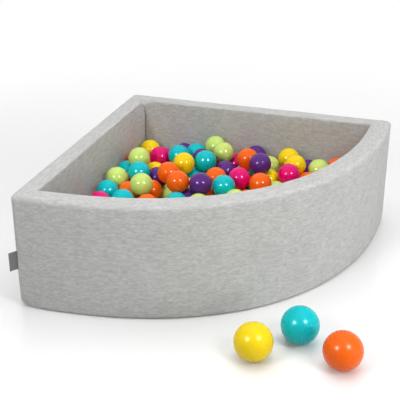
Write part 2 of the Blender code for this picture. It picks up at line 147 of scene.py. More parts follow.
# The layers below: how they start, and how they settle until no two balls overlap
LAYER_SEED = 11
LAYER_SPREAD = 1.05
LAYER_EDGE = BALL_RADIUS * 0.6
LAYER_JITTER = BALL_RADIUS / 12
SETTLE_STEPS = 160
SETTLE_PUSH = 0.3
SETTLE_GAP = 0.001

# Label: a ribbon folded over, with its ends in the left tip's seam
LABEL_PLY = 0.0004
LABEL_OPEN = 0.0012
LABEL_DROOP = 0.0016
LABEL_BEND = 0.0014
LABEL_WAVE = 0.0004
LABEL_WAVE_TURN = 5.0
LABEL_TUCK = 0.003
LABEL_STEPS = 12
LABEL_FOLD_STEPS = 8
LABEL_CUTS = 14

# Zip: coil teeth on two woven tapes, which a row of stitches holds to the cloth
TOOTH_PITCH = 0.0015
TOOTH_RADIUS = 0.00037
TOOTH_SIDES = 6
TOOTH_REACH_SHARES = (0.96, 0.86, 0.5, -0.12, -0.3)
TOOTH_THICK_SHARES = (0.9, 1.0, 1.0, 1.15, 0.6)
TAPE_THICK = 0.0006
TAPE_EDGE_GAP = 0.0002
TAPE_STEPS = 80
TAPE_CUTS = 4
STITCH_PITCH = 0.0036
STITCH_LENGTH = 0.0028
STITCH_RADIUS = 0.00026
STITCH_MARGIN = 0.0035
STITCH_SHARES = (-0.5, -0.25, 0.0, 0.25, 0.5)
STITCH_THICK_SHARES = (0.6, 0.9, 1.0, 0.9, 0.6)
STITCH_DIP = 8
STRAND_SIDES = 6
CLIP_THICK = 0.0007
CLIP_STEPS = 15
CLIP_SQUARE = 0.4
SLIDER_ROUND = 0.0006
SLIDER_WAIST = 0.62
SLIDER_WAIST_START = 0.35
SLIDER_END = 0.72
SLIDER_END_SQUARE = 6
SLIDER_LIP = SLIDER_ROUND * 1.2
SLIDER_DOME = 0.0003
SLIDER_STATIONS = 22
SLIDER_ROUND_STEPS = 4
EAR_THICK = 0.0014
EAR_STEPS = 10
PIN_RADIUS = 0.0006
PIN_SIDES = 16
PIN_THICK_SHARES = (0.6, 1.0, 1.0, 1.0, 0.6)
PLATE_BEVEL = 0.00025
PULL_THICK = 0.0012
PULL_NECK = 0.0032
PULL_HOLE_LENGTH = 0.0080
PULL_HOLE_WIDTH = 0.0022
PULL_HOLE_MARGIN = 0.0022
PULL_END_STEPS = 12
PULL_ROOT_SIDES = 20

# Materials: a dark and a light tone of each, and the balls' colours
JERSEY_TONES = ((0.44, 0.443, 0.432), (0.59, 0.59, 0.575))
FOAM_TONES = ((0.66, 0.62, 0.50), (0.88, 0.86, 0.77))
LABEL_TONES = ((0.133, 0.137, 0.141), (0.196, 0.200, 0.205))
TAPE_TONES = ((0.42, 0.43, 0.42), (0.60, 0.61, 0.60))
COIL_TONES = ((0.46, 0.47, 0.46), (0.56, 0.57, 0.56))
METAL_TONES = ((0.50, 0.50, 0.51), (0.68, 0.69, 0.70))
COLOURS = {
    "yellow": (0.93, 0.67, 0.004),
    "pink": (0.78, 0.002, 0.17),
    "green": (0.60, 0.78, 0.19),
    "turquoise": (0.0, 0.52, 0.57),
    "orange": (0.96, 0.135, 0.003),
    "purple": (0.10, 0.024, 0.205),
}
LOOSE_COLOURS = ("yellow", "turquoise", "orange")
PLASTIC_MOTTLE = (0.95, 1.03)
PLASTIC_SHINE = 0.32
SHINE_TINT = 0.4
PIT_GLOSS = 0.19
LOOSE_GLOSS = 0.28
LABEL_THREAD = 0.0006
TAPE_THREAD = 0.0008
COIL_THREAD = 0.0004
# Jersey: loops, how far the courses wander, and scales of the melange along the courses and across them
WALE_PITCH = 0.0014
COURSE_PITCH = 0.0011
COURSE_SWAY = (0.0, 0.016, 0.0)
SWAY_SCALE = 22.0
SLUB_SCALES = (75.0, 330.0, 1.0)
STREAK_SCALES = (28.0, 110.0, 1.0)
CLOUD_SCALE = 14.0
GRAIN_SCALE = 900.0
MELANGE_SHARES = (2.6, 1.5, 0.6, 0.6)
MELANGE_SHIFT = -2.15

# Lamps. A share is the brightness that a lamp adds to a white surface that faces it
KEY_DISTANCE = 2.6
ROOM_DISTANCE = 3.0
# Where the key lamps' highlights show on a ball of radius 1
LEFT_HIGHLIGHT = (-0.27, 0.10)
RIGHT_HIGHLIGHT = (0.24, 0.14)
# Key lamps: name, highlight, size, share, and whether it is a glint
KEY_LAMPS = (
    ("left_lamp", LEFT_HIGHLIGHT, (0.60, 0.70), 0.30, False),
    ("right_lamp", RIGHT_HIGHLIGHT, (0.60, 0.70), 0.23, False),
    ("left_glint", LEFT_HIGHLIGHT, (0.30, 0.34), 1.05, True),
    ("right_glint", RIGHT_HIGHLIGHT, (0.30, 0.34), 0.95, True),
)
# Broad lamps: name, direction from the middle, size, share
ROOM_LAMPS = (
    ("top_lamp", (0.0, 0.0, 1.0), (3.0, 3.0), 0.87),
    ("back_lamp", (-0.4, 2.0, 1.1), (3.4, 1.4), 0.30),
    ("low_lamp", (2.4, -0.5, 0.25), (1.8, 0.8), 0.46),
)
WORLD_LIGHT = 0.05
WHITE = (1.0, 1.0, 1.0, 1.0)
FLOOR_COLOUR = (0.87, 0.87, 0.87, 1.0)
FLOOR_BOUNCE = (0.52, 0.52, 0.52, 1.0)
FLOOR_GLOW = 0.06
FLOOR_NEAR = 0.95
FLOOR_FAR = 2.2
FLOOR_HALF = 14.0

ALONG_X = (1.0, 0.0, 0.0)
UPWARDS = (0.0, 0.0, 1.0)


def unit(vector):
    return vector / np.linalg.norm(vector)


def smooth_step(low, high, value):
    share = np.clip((value - low) / (high - low), 0.0, 1.0)
    return share * share * (3 - 2 * share)


def along(points):
    """How far along a line each of its points lies."""
    return np.concatenate([[0.0], np.cumsum(np.linalg.norm(np.diff(points, axis=0), axis=1))])


def end_distances(points):
    """How far each point of a line lies from its start and from its end."""
    gone = along(points)
    return gone, gone[-1] - gone


# Plan lines

LEFT_TIP = np.array((-SIDE / 2, -SIDE / 2))
BACK_CORNER = np.array((-SIDE / 2, SIDE / 2))
RIGHT_TIP = np.array((SIDE / 2, SIDE / 2))


def front_curve():
    """Outer line of the front wall from the left tip to the right one, with its inward normals."""
    share = np.linspace(0.0, 1.0, CURVE_STEPS + 1)
    turned = share - FRONT_BEND_SHARE * np.sin(2 * math.pi * share) / (2 * math.pi)
    heading = np.exp(2j * FRONT_HALF_TURN * turned)
    line = np.concatenate([[0.0], np.cumsum((heading[1:] + heading[:-1]) / 2)])
    spread = complex(*(RIGHT_TIP - LEFT_TIP)) / line[-1]
    line = complex(*LEFT_TIP) + line * spread
    inward = heading * spread / abs(spread) * 1j
    return np.column_stack([line.real, line.imag]), np.column_stack([inward.real, inward.imag])


def straight_line(start, end, inward):
    share = np.linspace(0.0, 1.0, CURVE_STEPS + 1)[:, None]
    return start + (end - start) * share, np.repeat([inward], CURVE_STEPS + 1, axis=0)


def mitre(corner, normal_a, width_a, normal_b, width_b):
    """The point that lies width_a inside one line and width_b inside the other at a corner."""
    return corner + np.linalg.solve(np.array([normal_a, normal_b]), np.array([width_a, width_b]))


CURVE, CURVE_INWARD = front_curve()
# Outer line, inward normals and width of each wall, anticlockwise
LINES = {
    "left": (*straight_line(BACK_CORNER, LEFT_TIP, (1.0, 0.0)), WALL),
    "front": (CURVE, CURVE_INWARD, FRONT_WALL),
    "back": (*straight_line(RIGHT_TIP, BACK_CORNER, (0.0, -1.0)), WALL),
}
# The wall that each one meets at its start and at its end
BEFORE = {"left": "back", "front": "left", "back": "front"}
AFTER = {"left": "front", "front": "back", "back": "left"}
INNER_CORNER = mitre(BACK_CORNER, (1.0, 0.0), WALL, (0.0, -1.0), WALL)


class Rails:
    """Outer and inner plan points of one wall from seam to seam."""

    def __init__(self, side):
        line, inward, width = LINES[side]
        before, after = LINES[BEFORE[side]], LINES[AFTER[side]]
        start = self.end_points(line[0], inward[0], width, before[1][-1], before[2], 1.0)
        end = self.end_points(line[-1], inward[-1], width, after[1][0], after[2], -1.0)
        self.length = along(line)[-1]
        share = np.linspace(0.0, 1.0, int(self.length / GRID) + 1)[1:-1]
        rows = []
        for row, depth in (("outer", 0.0), ("inner", width)):
            first = (start[row][-1] - line[0]) @ start["way"]
            last = self.length - (end[row][-1] - line[-1]) @ end["way"]
            middle = self.at(line, inward, first + (last - first) * share, depth)
            rows.append(np.vstack([start[row], middle, end[row][::-1]]))
        self.outer, self.inner = rows
        self.mitres = (start["mitre"], end["mitre"])

    @staticmethod
    def end_points(corner, own_in, width, other_in, other_width, turn):
        """Points round a wall's end, from the seam in the corner's middle to where the wall is straight."""
        way = turn * np.array((own_in[1], -own_in[0]))
        inner = mitre(corner, own_in, width, other_in, other_width)
        turn_round = BACK_CORNER_ROUND if np.allclose(corner, BACK_CORNER) else TIP_ROUND
        centre = corner + turn_round * (own_in + other_in) / (1 + own_in @ other_in)
        outers, inners = [], []
        for step in range(TIP_STEPS + 1):
            share = step / TIP_STEPS
            facing = unit(unit(own_in + other_in) * (1 - share) + own_in * share)
            outers.append(centre - turn_round * facing)
            inners.append(inner + way * turn_round * share)
        return {"outer": np.array(outers), "inner": np.array(inners),
                "way": way, "mitre": unit(corner - inner)}

    @staticmethod
    def at(line, inward, travel, depth):
        """Points at distances along a line, moved in from it by a depth."""
        gone = along(line)
        place, facing = (np.column_stack([np.interp(travel, gone, row[:, k]) for k in (0, 1)])
                         for row in (line, inward))
        return place + depth * facing / np.linalg.norm(facing, axis=1)[:, None]


def inset_outline(line, inset):
    """Moves each point of a counter-clockwise outline inwards along its corner's mitre."""
    before = line - np.roll(line, 1, axis=0)
    after = np.roll(line, -1, axis=0) - line
    drawn = []
    for point, came, goes in zip(line, before, after):
        in_a = unit(np.array((-came[1], came[0])))
        in_b = unit(np.array((-goes[1], goes[0])))
        drawn.append(point + inset * (in_a + in_b) / (1 + in_a @ in_b))
    return np.array(drawn)


def inner_outline(inset):
    """Closed plan line inside the walls, with sharp corners."""
    parts = []
    for side in LINES:
        inner = Rails(side).inner
        parts += [inner[:1], inner[TIP_STEPS + 1:-TIP_STEPS - 1:2]]
    return inset_outline(np.vstack(parts), inset)


def outer_outline(inset):
    """Closed plan line inside the walls' outer faces, with sharp corners."""
    return inset_outline(np.vstack([line[:-1:OUTLINE_STEP] for line, _, _ in LINES.values()]), inset)


def arc(centre, radius, start, end, steps):
    angles = np.radians(np.linspace(start, end, steps + 1))
    return np.column_stack([centre[0] + radius * np.cos(angles), centre[1] + radius * np.sin(angles)])


# Meshes

def add_object(name, data):
    made = bpy.data.objects.new(name, data)
    bpy.context.scene.collection.objects.link(made)
    return made


def new_piece(name, points, faces, finish, slot, replaced, body="root", sharp=None):
    """A mesh object with a material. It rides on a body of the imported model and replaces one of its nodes."""
    mesh = bpy.data.meshes.new(name)
    mesh.from_pydata([tuple(p) for p in points], [], faces)
    mesh.validate()
    mesh.shade_smooth()
    if sharp:
        mesh.set_sharp_from_angle(angle=math.radians(sharp))
    mesh.materials.append(finish)
    piece = add_object(name, mesh)
    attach(piece, body)
    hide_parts(replaced)
    return piece


def tube_faces(stations, count, start=0, reverse=False):
    """Faces between rings of points, of which each has count points."""
    faces = []
    for i in range(stations - 1):
        for j in range(count):
            here, there = start + i * count, start + (i + 1) * count
            n = (j + 1) % count
            face = (here + j, here + n, there + n, there + j)
            faces.append(face[::-1] if reverse else face)
    return faces


def closed_faces(stations, count):
    """The same with a flat face at each end."""
    last = (stations - 1) * count
    return tube_faces(stations, count) + [tuple(range(count))[::-1], tuple(range(last, last + count))]


def turned_out(points, faces):
    """The same form with its faces facing outwards."""
    points = np.asarray(points)
    volume = 0.0
    for face in faces:
        first = points[face[0]]
        for a, b in zip(face[1:], face[2:]):
            volume += first @ np.cross(points[a], points[b])
    return points, [face[::-1] for face in faces] if volume < 0 else faces


def sweep(rings):
    """A closed form through rings of points, with flat ends."""
    return turned_out(np.vstack(rings), closed_faces(len(rings), len(rings[0])))


def joined(forms):
    points, faces, start = [], [], 0
    for form_points, form_faces in forms:
        points.append(form_points)
        faces += [tuple(start + k for k in face) for face in form_faces]
        start += len(form_points)
    return np.vstack(points), faces


def repeated(form, places):
    """One form at each of several places."""
    points, faces = form
    return joined([(points + place, faces) for place in places])


def tube(path, radii, side, sides=STRAND_SIDES):
    """A round bar along a path in the plane across side."""
    path = np.asarray(path)
    angles = np.linspace(0.0, 2 * math.pi, sides, endpoint=False)
    rings = []
    for place, way, radius in zip(path, np.gradient(path, axis=0), radii):
        normal = unit(np.cross(side, way))
        rings.append([place + radius * (math.cos(a) * np.array(side) + math.sin(a) * normal) for a in angles])
    return sweep(rings)


def strip(path, across, width, thick, cuts=1):
    """A flat band along a path, as wide as width along across, with rounded edges."""
    path = np.asarray(path)
    half, edge = width / 2, thick / 2
    over = [(a, edge) for a in np.linspace(edge - half, half - edge, cuts + 1)]
    section = [(-half, 0.0)] + over + [(half, 0.0)] + [(a, -edge) for a, _ in over[::-1]]
    rings = []
    for place, way in zip(path, np.gradient(path, axis=0)):
        normal = unit(np.cross(across, way))
        rings.append([place + a * np.array(across) + b * normal for a, b in section])
    return sweep(rings)


def raised(outline, levels):
    """Rings of an outline, one for the inset and the height of each level."""
    return [[(*p, z) for p in inset_outline(outline, inset)] for inset, z in levels]


def plate_piece(name, replaced, outline, edge, finish, slot):
    """A flat piece with rounded edges, as high as the node that it replaces."""
    low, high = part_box(replaced)
    levels = [(edge * (1 - math.sin(turn)), low.z + (high.z - low.z) * (1 - math.cos(turn)) / 2)
              for turn in math.pi * np.linspace(0.0, 1.0, PLATE_RINGS)]
    return new_piece(name, *sweep(raised(outline, levels)), finish, slot, replaced, sharp=PLATE_SHARP)


def bevel_levels(low, high):
    """Levels of an edge with a bevel at each end."""
    step = math.copysign(PLATE_BEVEL, high - low)
    return (PLATE_BEVEL, low), (0.0, low + step), (0.0, high - step), (PLATE_BEVEL, high)


def bevelled_plate(outline, hole, low, high):
    """A flat form in its own plane: an outline with a hole that has as many points."""
    levels = bevel_levels(low, high)
    loops = raised(outline, levels) + raised(hole, [(-inset, z) for inset, z in levels[::-1]])
    points = np.vstack(loops)
    closing = tube_faces(len(loops) + 1, len(outline))
    return turned_out(points, [tuple(k % len(points) for k in face) for face in closing])


# Walls

def between(start, end, spacing, length):
    """Points between two ends, as many as a nominal length needs."""
    return np.linspace(start, end, max(1, round(length / spacing)) + 1)[1:-1]


def wall_section(foot_round=FOOT_ROUND, inner_round=RIM_INNER_ROUND, inset=0.0, spacing=GRID,
                 arc_steps=ARC_STEPS):
    """Closed section of a wall: distance from the outer face, and height. Rounds don't change its count."""
    foot = arc((foot_round, FOOT + foot_round), foot_round - inset, 270, 180, arc_steps)
    outer = arc((RIM_ROUND, HEIGHT - RIM_ROUND), RIM_ROUND - inset, 180, 90, arc_steps)
    middle = (WALL - inner_round, HEIGHT - inner_round)
    inner = arc(middle, inner_round - inset, 90, 0, arc_steps)
    low = np.array([[WALL - inset, FOOT + inset]])
    parts = (foot, outer, inner, low)
    lengths = (HEIGHT, WALL, HEIGHT, WALL)
    around = []
    for part, following, length in zip(parts, parts[1:] + parts[:1], lengths):
        around += [part, between(part[-1], following[0], spacing, length)]
    return np.vstack(around)


def loft(rails, sections):
    """Grid of points: one ring of a section at each station of the rails."""
    across = (rails.inner - rails.outer)[:, None, :] * (sections[:, :, 0] / WALL)[:, :, None]
    plan = rails.outer[:, None, :] + across
    return np.concatenate([plan, sections[:, :, 1:2]], axis=2)


def ring_normals(grid):
    """Outward normals of a tube's grid of points."""
    way = np.gradient(grid, axis=0)
    round_it = np.roll(grid, -1, axis=1) - np.roll(grid, 1, axis=1)
    normals = np.cross(round_it, way)
    normals /= np.linalg.norm(normals, axis=2)[:, :, None] + 1e-12
    top = grid[:, :, 2].argmax(axis=1)
    return normals * np.sign(normals[len(grid) // 2, top[len(grid) // 2], 2])


def noise_at(points, scale, shift):
    return np.array([noise.noise(Vector(p) * scale + Vector((shift, shift, shift))) for p in points])


def sleeve_sections(rails, from_back):
    """A section for each station: rounder at the tips' foot, and at the rim in the inner back corner."""
    seam = np.minimum(*end_distances(rails.outer))
    inner_seam = np.minimum(*end_distances(rails.inner))
    tip_share = np.exp(-(seam / TIP_FOOT_REACH)**2) * from_back
    soft_share = np.exp(-(inner_seam / CORNER_SOFT_REACH)**2) * (1.0 - from_back)
    foot_rounds = FOOT_ROUND + (TIP_FOOT_ROUND - FOOT_ROUND) * tip_share
    inner_rounds = RIM_INNER_ROUND + (CORNER_RIM_ROUND - RIM_INNER_ROUND) * soft_share
    return np.array([wall_section(*rounds) for rounds in zip(foot_rounds, inner_rounds)])


def swollen(grid, sections, seam):
    """The grid with soft swellings, and with sewn seams that draw in and pucker."""
    normals = ring_normals(grid)
    height = sections[:, :, 1]
    flat = grid.reshape(-1, 3)
    swell = SWELL * noise_at(flat, SWELL_SCALE, 0.0) + RIPPLE * noise_at(flat, RIPPLE_SCALE, RIPPLE_SHIFT)
    low_share = smooth_step(FOOT, FOOT + FOOT_ROUND, height)
    upright = 1.0 - smooth_step(*SLOPE_LIMITS, np.abs(normals[:, :, 2]))
    outside = upright * (sections[:, :, 0] < WALL / 2)
    groove = SEAM_DEPTH * np.exp(-(seam / SEAM_WIDTH)**2)[:, None]
    pucker = PUCKER * np.exp(-seam / PUCKER_REACH)[:, None] * np.sin(2 * math.pi * height / PUCKER_PITCH)
    lift = swell.reshape(height.shape) * low_share
    lift += outside * low_share * (pucker - groove)
    return grid + normals * lift[:, :, None]


def crease_corners(grid, sections, rails, from_back):
    """Draws a crease into the grid's inner corners. The back one has a fillet above it, and leans."""
    drop = HEIGHT - sections[:, :, 1]
    inside = smooth_step(*INSIDE_LIMITS, sections[:, :, 0])
    crease = inside * smooth_step(*CREASE_LIMITS, drop)
    fillet = inside * (1.0 - smooth_step(*FILLET_LIMITS, drop)) * (1.0 - from_back)[:, None]
    for gone, way in zip(end_distances(rails.inner), rails.mitres):
        near = np.maximum(1.0 - gone / FILLET_REACH, 0.0)[:, None]**2
        sunk = CREASE_DEPTH * np.exp(-(gone / CREASE_WIDTH)**2)[:, None] * crease
        grid[:, :, :2] += (sunk - FILLET_DEPTH * near * fillet)[:, :, None] * way
    near = np.linalg.norm(grid[:, :, :2] - INNER_CORNER, axis=2)
    grid[:, :, 0] += CORNER_LEAN * np.exp(-(near / CORNER_LEAN_REACH)**2) * crease


def add_weave(mesh, travel, ring):
    """Map of the cloth in metres: along the wall, and round it. The ring's last point is its first again."""
    count = len(ring) - 1
    vertex = np.zeros(len(mesh.loops), int)
    mesh.loops.foreach_get("vertex_index", vertex)
    station, column = np.divmod(vertex % (len(travel) * count), count)
    uv = np.column_stack([travel[station], ring[column]])
    quads = column.reshape(-1, 4)
    wraps = (quads.max(axis=1) == count - 1) & (quads.min(axis=1) == 0)
    uv[np.repeat(wraps, 4) & (column == 0), 1] = ring[-1]
    mesh.uv_layers.new(name="weave").data.foreach_set("uv", uv.ravel())


def add_sleeve(side, finish):
    rails = Rails(side)
    travel = along(rails.outer)
    # 0 at the back corner, and 1 from the middle of a straight wall onwards
    from_back = smooth_step(TIP_FOOT_ROUND, SIDE / 2, np.linalg.norm(rails.outer - BACK_CORNER, axis=1))
    sections = sleeve_sections(rails, from_back)
    outside = swollen(loft(rails, sections), sections, np.minimum(*end_distances(rails.outer)))
    crease_corners(outside, sections, rails, from_back)
    inside = outside - ring_normals(outside) * CLOTH
    stations, count = outside.shape[:2]
    shift = stations * count
    faces = tube_faces(stations, count) + tube_faces(stations, count, shift, reverse=True)
    for i in (0, stations - 1):
        for j in range(count):
            a, b = i * count + j, i * count + (j + 1) % count
            face = (a, b, b + shift, a + shift)
            faces.append(face[::-1] if i == 0 else face)
    points = np.vstack([outside.reshape(-1, 3), inside.reshape(-1, 3)])
    piece = new_piece(f"sleeve_{side}", points, faces, finish, "jersey", f"cover_{side}", sharp=CLOTH_SHARP)
    middle = sections[stations // 2]
    ring = along(np.concatenate([middle, middle[:1]]))
    add_weave(piece.data, travel, ring)


def add_core(side, finish):
    """The foam block inside a sleeve."""
    rails = Rails(side)
    section = wall_section(inset=CLOTH + CORE_GAP, spacing=GRID * CORE_STEP, arc_steps=ARC_STEPS // 2)
    trim = slice(TIP_STEPS - 1, -(TIP_STEPS - 1))
    rails.outer, rails.inner = rails.outer[trim][::CORE_STEP], rails.inner[trim][::CORE_STEP]
    grid = loft(rails, np.repeat([section], len(rails.outer), axis=0))
    form = (grid.reshape(-1, 3), closed_faces(*grid.shape[:2]))
    piece = new_piece(f"core_{side}", *form, finish, "foam", f"foam_wall_{side}", sharp=FOAM_SHARP)


def add_soft_goods(jersey, foam):
    for side in LINES:
        add_core(side, foam)
    for side in LINES:
        add_sleeve(side, jersey)
    inside, outside = inner_outline(MAT_GAP), outer_outline(FOOT_ROUND + UNDERSIDE_INSET)
    plate_piece("mat_core", "base_mat_foam", inside, MAT_ROUND, foam, "foam")
    cloth = plate_piece("floor_cloth", "cover_floor", inside, CLOTH / 2, jersey, "jersey")
    cloth = plate_piece("underside_cloth", "cover_underside", outside, CLOTH / 2, jersey, "jersey")


# Materials

def set_inputs(made, inputs):
    """Sets a node's inputs, each to a value or to another node's socket."""
    for key, value in inputs.items():
        if isinstance(value, bpy.types.NodeSocket):
            made.id_data.links.new(value, made.inputs[key])
        else:
            made.inputs[key].default_value = value


def node(tree, kind, inputs, **settings):
    made = tree.nodes.new(kind)
    for key, value in settings.items():
        setattr(made, key, value)
    set_inputs(made, inputs)
    return made


def new_material(name):
    made = bpy.data.materials.new(name)
    made.use_nodes = True
    tree = made.node_tree
    return made, tree, tree.nodes["Principled BSDF"]


def object_place(tree):
    return node(tree, "ShaderNodeTexCoord", {}).outputs["Object"]


def math_node(tree, operation, *inputs):
    return node(tree, "ShaderNodeMath", dict(enumerate(inputs)), operation=operation).outputs[0]


def noise_node(tree, vector, scale, detail=2.0):
    inputs = {"Vector": vector, "Scale": scale, "Detail": detail}
    return node(tree, "ShaderNodeTexNoise", inputs).outputs["Fac"]


def melange_node(tree, vector, scales, detail, roughness):
    """Flat noise that is stretched along the cloth's courses."""
    stretched = node(tree, "ShaderNodeMapping", {"Vector": vector, "Scale": scales}).outputs["Vector"]
    inputs = {"Vector": stretched, "Scale": 1.0, "Detail": detail, "Roughness": roughness}
    return node(tree, "ShaderNodeTexNoise", inputs, noise_dimensions="2D").outputs["Fac"]


def mix_colours(tree, share, low, high):
    inputs = {0: share, 6: (*low, 1.0), 7: (*high, 1.0)}
    return node(tree, "ShaderNodeMix", inputs, data_type="RGBA").outputs[2]


def mix_shaders(tree, share, low, high):
    return node(tree, "ShaderNodeMixShader", {0: share, 1: low, 2: high}).outputs[0]


def add_bump(tree, shader, height, distance, strength):
    bump = node(tree, "ShaderNodeBump", {"Height": height, "Distance": distance, "Strength": strength})
    set_inputs(shader, {"Normal": bump.outputs["Normal"]})


def jersey_material():
    """Light grey melange jersey: knitted loops, and slubs that run along the courses."""
    made, tree, shader = new_material("jersey")
    uv = node(tree, "ShaderNodeUVMap", {}, uv_map="weave").outputs["UV"]
    sway = {0: noise_node(tree, uv, SWAY_SCALE, detail=1.0), 1: COURSE_SWAY, 2: uv}
    vector = node(tree, "ShaderNodeVectorMath", sway, operation="MULTIPLY_ADD").outputs["Vector"]
    slub = melange_node(tree, vector, SLUB_SCALES, detail=3.0, roughness=0.55)
    streak = melange_node(tree, vector, STREAK_SCALES, detail=2.0, roughness=0.5)
    cloud = noise_node(tree, uv, CLOUD_SCALE)
    grain = noise_node(tree, uv, GRAIN_SCALE, detail=1.0)
    total = MELANGE_SHIFT
    for pattern, share in zip((slub, streak, cloud, grain), MELANGE_SHARES):
        total = math_node(tree, "MULTIPLY_ADD", pattern, share, total)
    melange = node(tree, "ShaderNodeClamp", {"Value": total}).outputs[0]
    set_inputs(shader, {"Base Color": mix_colours(tree, melange, *JERSEY_TONES), "Roughness": 0.92,
                        "Specular IOR Level": 0.2, "Sheen Weight": 0.3, "Sheen Roughness": 0.5})
    parts = node(tree, "ShaderNodeSeparateXYZ", {"Vector": uv})
    wale = math_node(tree, "PINGPONG", math_node(tree, "MULTIPLY", parts.outputs["X"], 1 / WALE_PITCH), 0.5)
    course = math_node(tree, "MULTIPLY_ADD", parts.outputs["Y"], 1 / COURSE_PITCH, wale)
    loops = math_node(tree, "SINE", math_node(tree, "MULTIPLY", course, 2 * math.pi))
    loops = math_node(tree, "MULTIPLY_ADD", loops, 0.4, math_node(tree, "MULTIPLY", wale, 1.4))
    height = math_node(tree, "MULTIPLY_ADD", slub, 2.0, loops)
    add_bump(tree, shader, height, distance=0.00035, strength=0.55)
    return made


def plastic_material(name, colour, roughness):
    """Glossy blown plastic, hardly uneven, with faint scuffs."""
    made, tree, shader = new_material(name)
    place = object_place(tree)
    deep, light = (tuple(min(1.0, c * share) for c in colour) for share in PLASTIC_MOTTLE)
    scuffs = noise_node(tree, place, scale=160.0, detail=3.0)
    tint = tuple(1 - SHINE_TINT + SHINE_TINT * c / max(colour) for c in colour)
    set_inputs(shader, {
        "Base Color": mix_colours(tree, noise_node(tree, place, scale=30.0), deep, light),
        "Roughness": math_node(tree, "MULTIPLY_ADD", scuffs, roughness * 0.4, roughness * 0.8),
        "Specular IOR Level": PLASTIC_SHINE,
        "Specular Tint": (*tint, 1.0),
    })
    waves = noise_node(tree, place, scale=60.0, detail=1.0)
    add_bump(tree, shader, waves, distance=0.0003, strength=0.12)
    return made


def foam_material():
    made, tree, shader = new_material("open_cell_foam")
    place = object_place(tree)
    cells = node(tree, "ShaderNodeTexVoronoi", {"Vector": place, "Scale": 700.0}).outputs["Distance"]
    tone = math_node(tree, "ADD", cells, noise_node(tree, place, scale=20.0))
    set_inputs(shader, {"Base Color": mix_colours(tree, tone, *FOAM_TONES), "Roughness": 0.95})
    add_bump(tree, shader, cells, distance=0.0008, strength=0.8)
    return made


def ribbon_material(name, tones, thread):
    """Woven ribbon: fine ribs across it."""
    made, tree, shader = new_material(name)
    place = object_place(tree)
    parts = node(tree, "ShaderNodeSeparateXYZ", {"Vector": place})
    across = math_node(tree, "ADD", parts.outputs["X"], parts.outputs["Y"])
    weft, warp = (math_node(tree, "SINE", math_node(tree, "MULTIPLY", way, 2 * math.pi / thread))
                  for way in (parts.outputs["Z"], across))
    weave = math_node(tree, "MULTIPLY", weft, warp)
    tone = math_node(tree, "MULTIPLY_ADD", weave, 0.3, noise_node(tree, place, scale=260.0, detail=3.0))
    set_inputs(shader, {"Base Color": mix_colours(tree, tone, *tones), "Roughness": 0.75})
    add_bump(tree, shader, weave, distance=0.0002, strength=0.6)
    return made


def metal_material():
    made, tree, shader = new_material("zip_metal")
    wear = noise_node(tree, object_place(tree), scale=500.0, detail=4.0)
    set_inputs(shader, {
        "Base Color": mix_colours(tree, wear, *METAL_TONES),
        "Roughness": math_node(tree, "MULTIPLY_ADD", wear, 0.25, 0.20),
        "Metallic": 1.0,
    })
    return made


# Balls

def ball_form(radius, segments, rings):
    """Points and faces of a hollow ball's outside, with the fine ridge of its mould at the equator."""
    turns = np.linspace(-math.pi / 2, math.pi / 2, rings + 1)[1:-1]
    turns = np.sort(np.concatenate([turns[np.abs(turns) > 2 * MOULD_SEAM_HALF],
                                    (-MOULD_SEAM_HALF, 0.0, MOULD_SEAM_HALF)]))
    points = [(0.0, 0.0, -radius)]
    for turn in turns:
        reach = radius + (MOULD_SEAM if turn == 0.0 else 0.0)
        wide, z = reach * math.cos(turn), reach * math.sin(turn)
        points += [(wide * math.cos(angle), wide * math.sin(angle), z)
                   for angle in np.linspace(0.0, 2 * math.pi, segments, endpoint=False)]
    points.append((0.0, 0.0, radius))
    last = len(points) - 1
    start = 1 + (len(turns) - 1) * segments
    faces = [(0, 1 + (k + 1) % segments, 1 + k) for k in range(segments)]
    faces += tube_faces(len(turns), segments, 1)
    faces += [(start + k, start + (k + 1) % segments, last) for k in range(segments)]
    return np.array(points), faces


def random_turn(random):
    """A rotation matrix, any way up."""
    w, x, y, z = unit(random.normal(size=4))
    return np.array([[1 - 2 * (y * y + z * z), 2 * (x * y - z * w), 2 * (x * z + y * w)],
                     [2 * (x * y + z * w), 1 - 2 * (x * x + z * z), 2 * (y * z - x * w)],
                     [2 * (x * z - y * w), 2 * (y * z + x * w), 1 - 2 * (x * x + y * y)]])


def ball_forms(places, radius, cuts, random):
    """Balls of one size, each turned its own way."""
    form, faces = ball_form(radius, *cuts)
    return joined([(form @ random_turn(random).T + place, faces) for place in places])


def keep_inside(places, margin):
    """Moves places in from the walls' inner faces by a margin."""
    places[:, 0] = np.maximum(places[:, 0], INNER_CORNER[0] + margin)
    places[:, 1] = np.minimum(places[:, 1], INNER_CORNER[1] - margin)
    away = places[:, None, :2] - CURVE[None]
    near = (away**2).sum(axis=2).argmin(axis=1)
    depth = (away[np.arange(len(places)), near] * CURVE_INWARD[near]).sum(axis=1)
    short = np.maximum(FRONT_WALL + margin - depth, 0.0)
    places[:, :2] += short[:, None] * CURVE_INWARD[near]


def head_places():
    """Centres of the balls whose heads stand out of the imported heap: below each of its local tops."""
    points = np.array([v.co for v in frame["nodes"]["ball_heap"].data.vertices])
    points = np.unique(points.round(5), axis=0)
    tops = []
    for point in points[points[:, 2] > points[:, 2].max() - 2 * BALL_RADIUS]:
        near = points[np.linalg.norm(points[:, :2] - point[:2], axis=1) < HEAD_REACH]
        if near[:, 2].max() <= point[2]:
            tops.append(point - (0.0, 0.0, BALL_RADIUS))
    return np.array(tops)


def nearest_head(heads, u, v, numbers):
    """The one of the numbered heads that is nearest to two shares of the inner side."""
    inner = SIDE - WALL
    place = (INNER_CORNER[0] + u * inner, INNER_CORNER[1] - v * inner)
    return min(numbers, key=lambda k: math.dist(heads[k][:2], place))


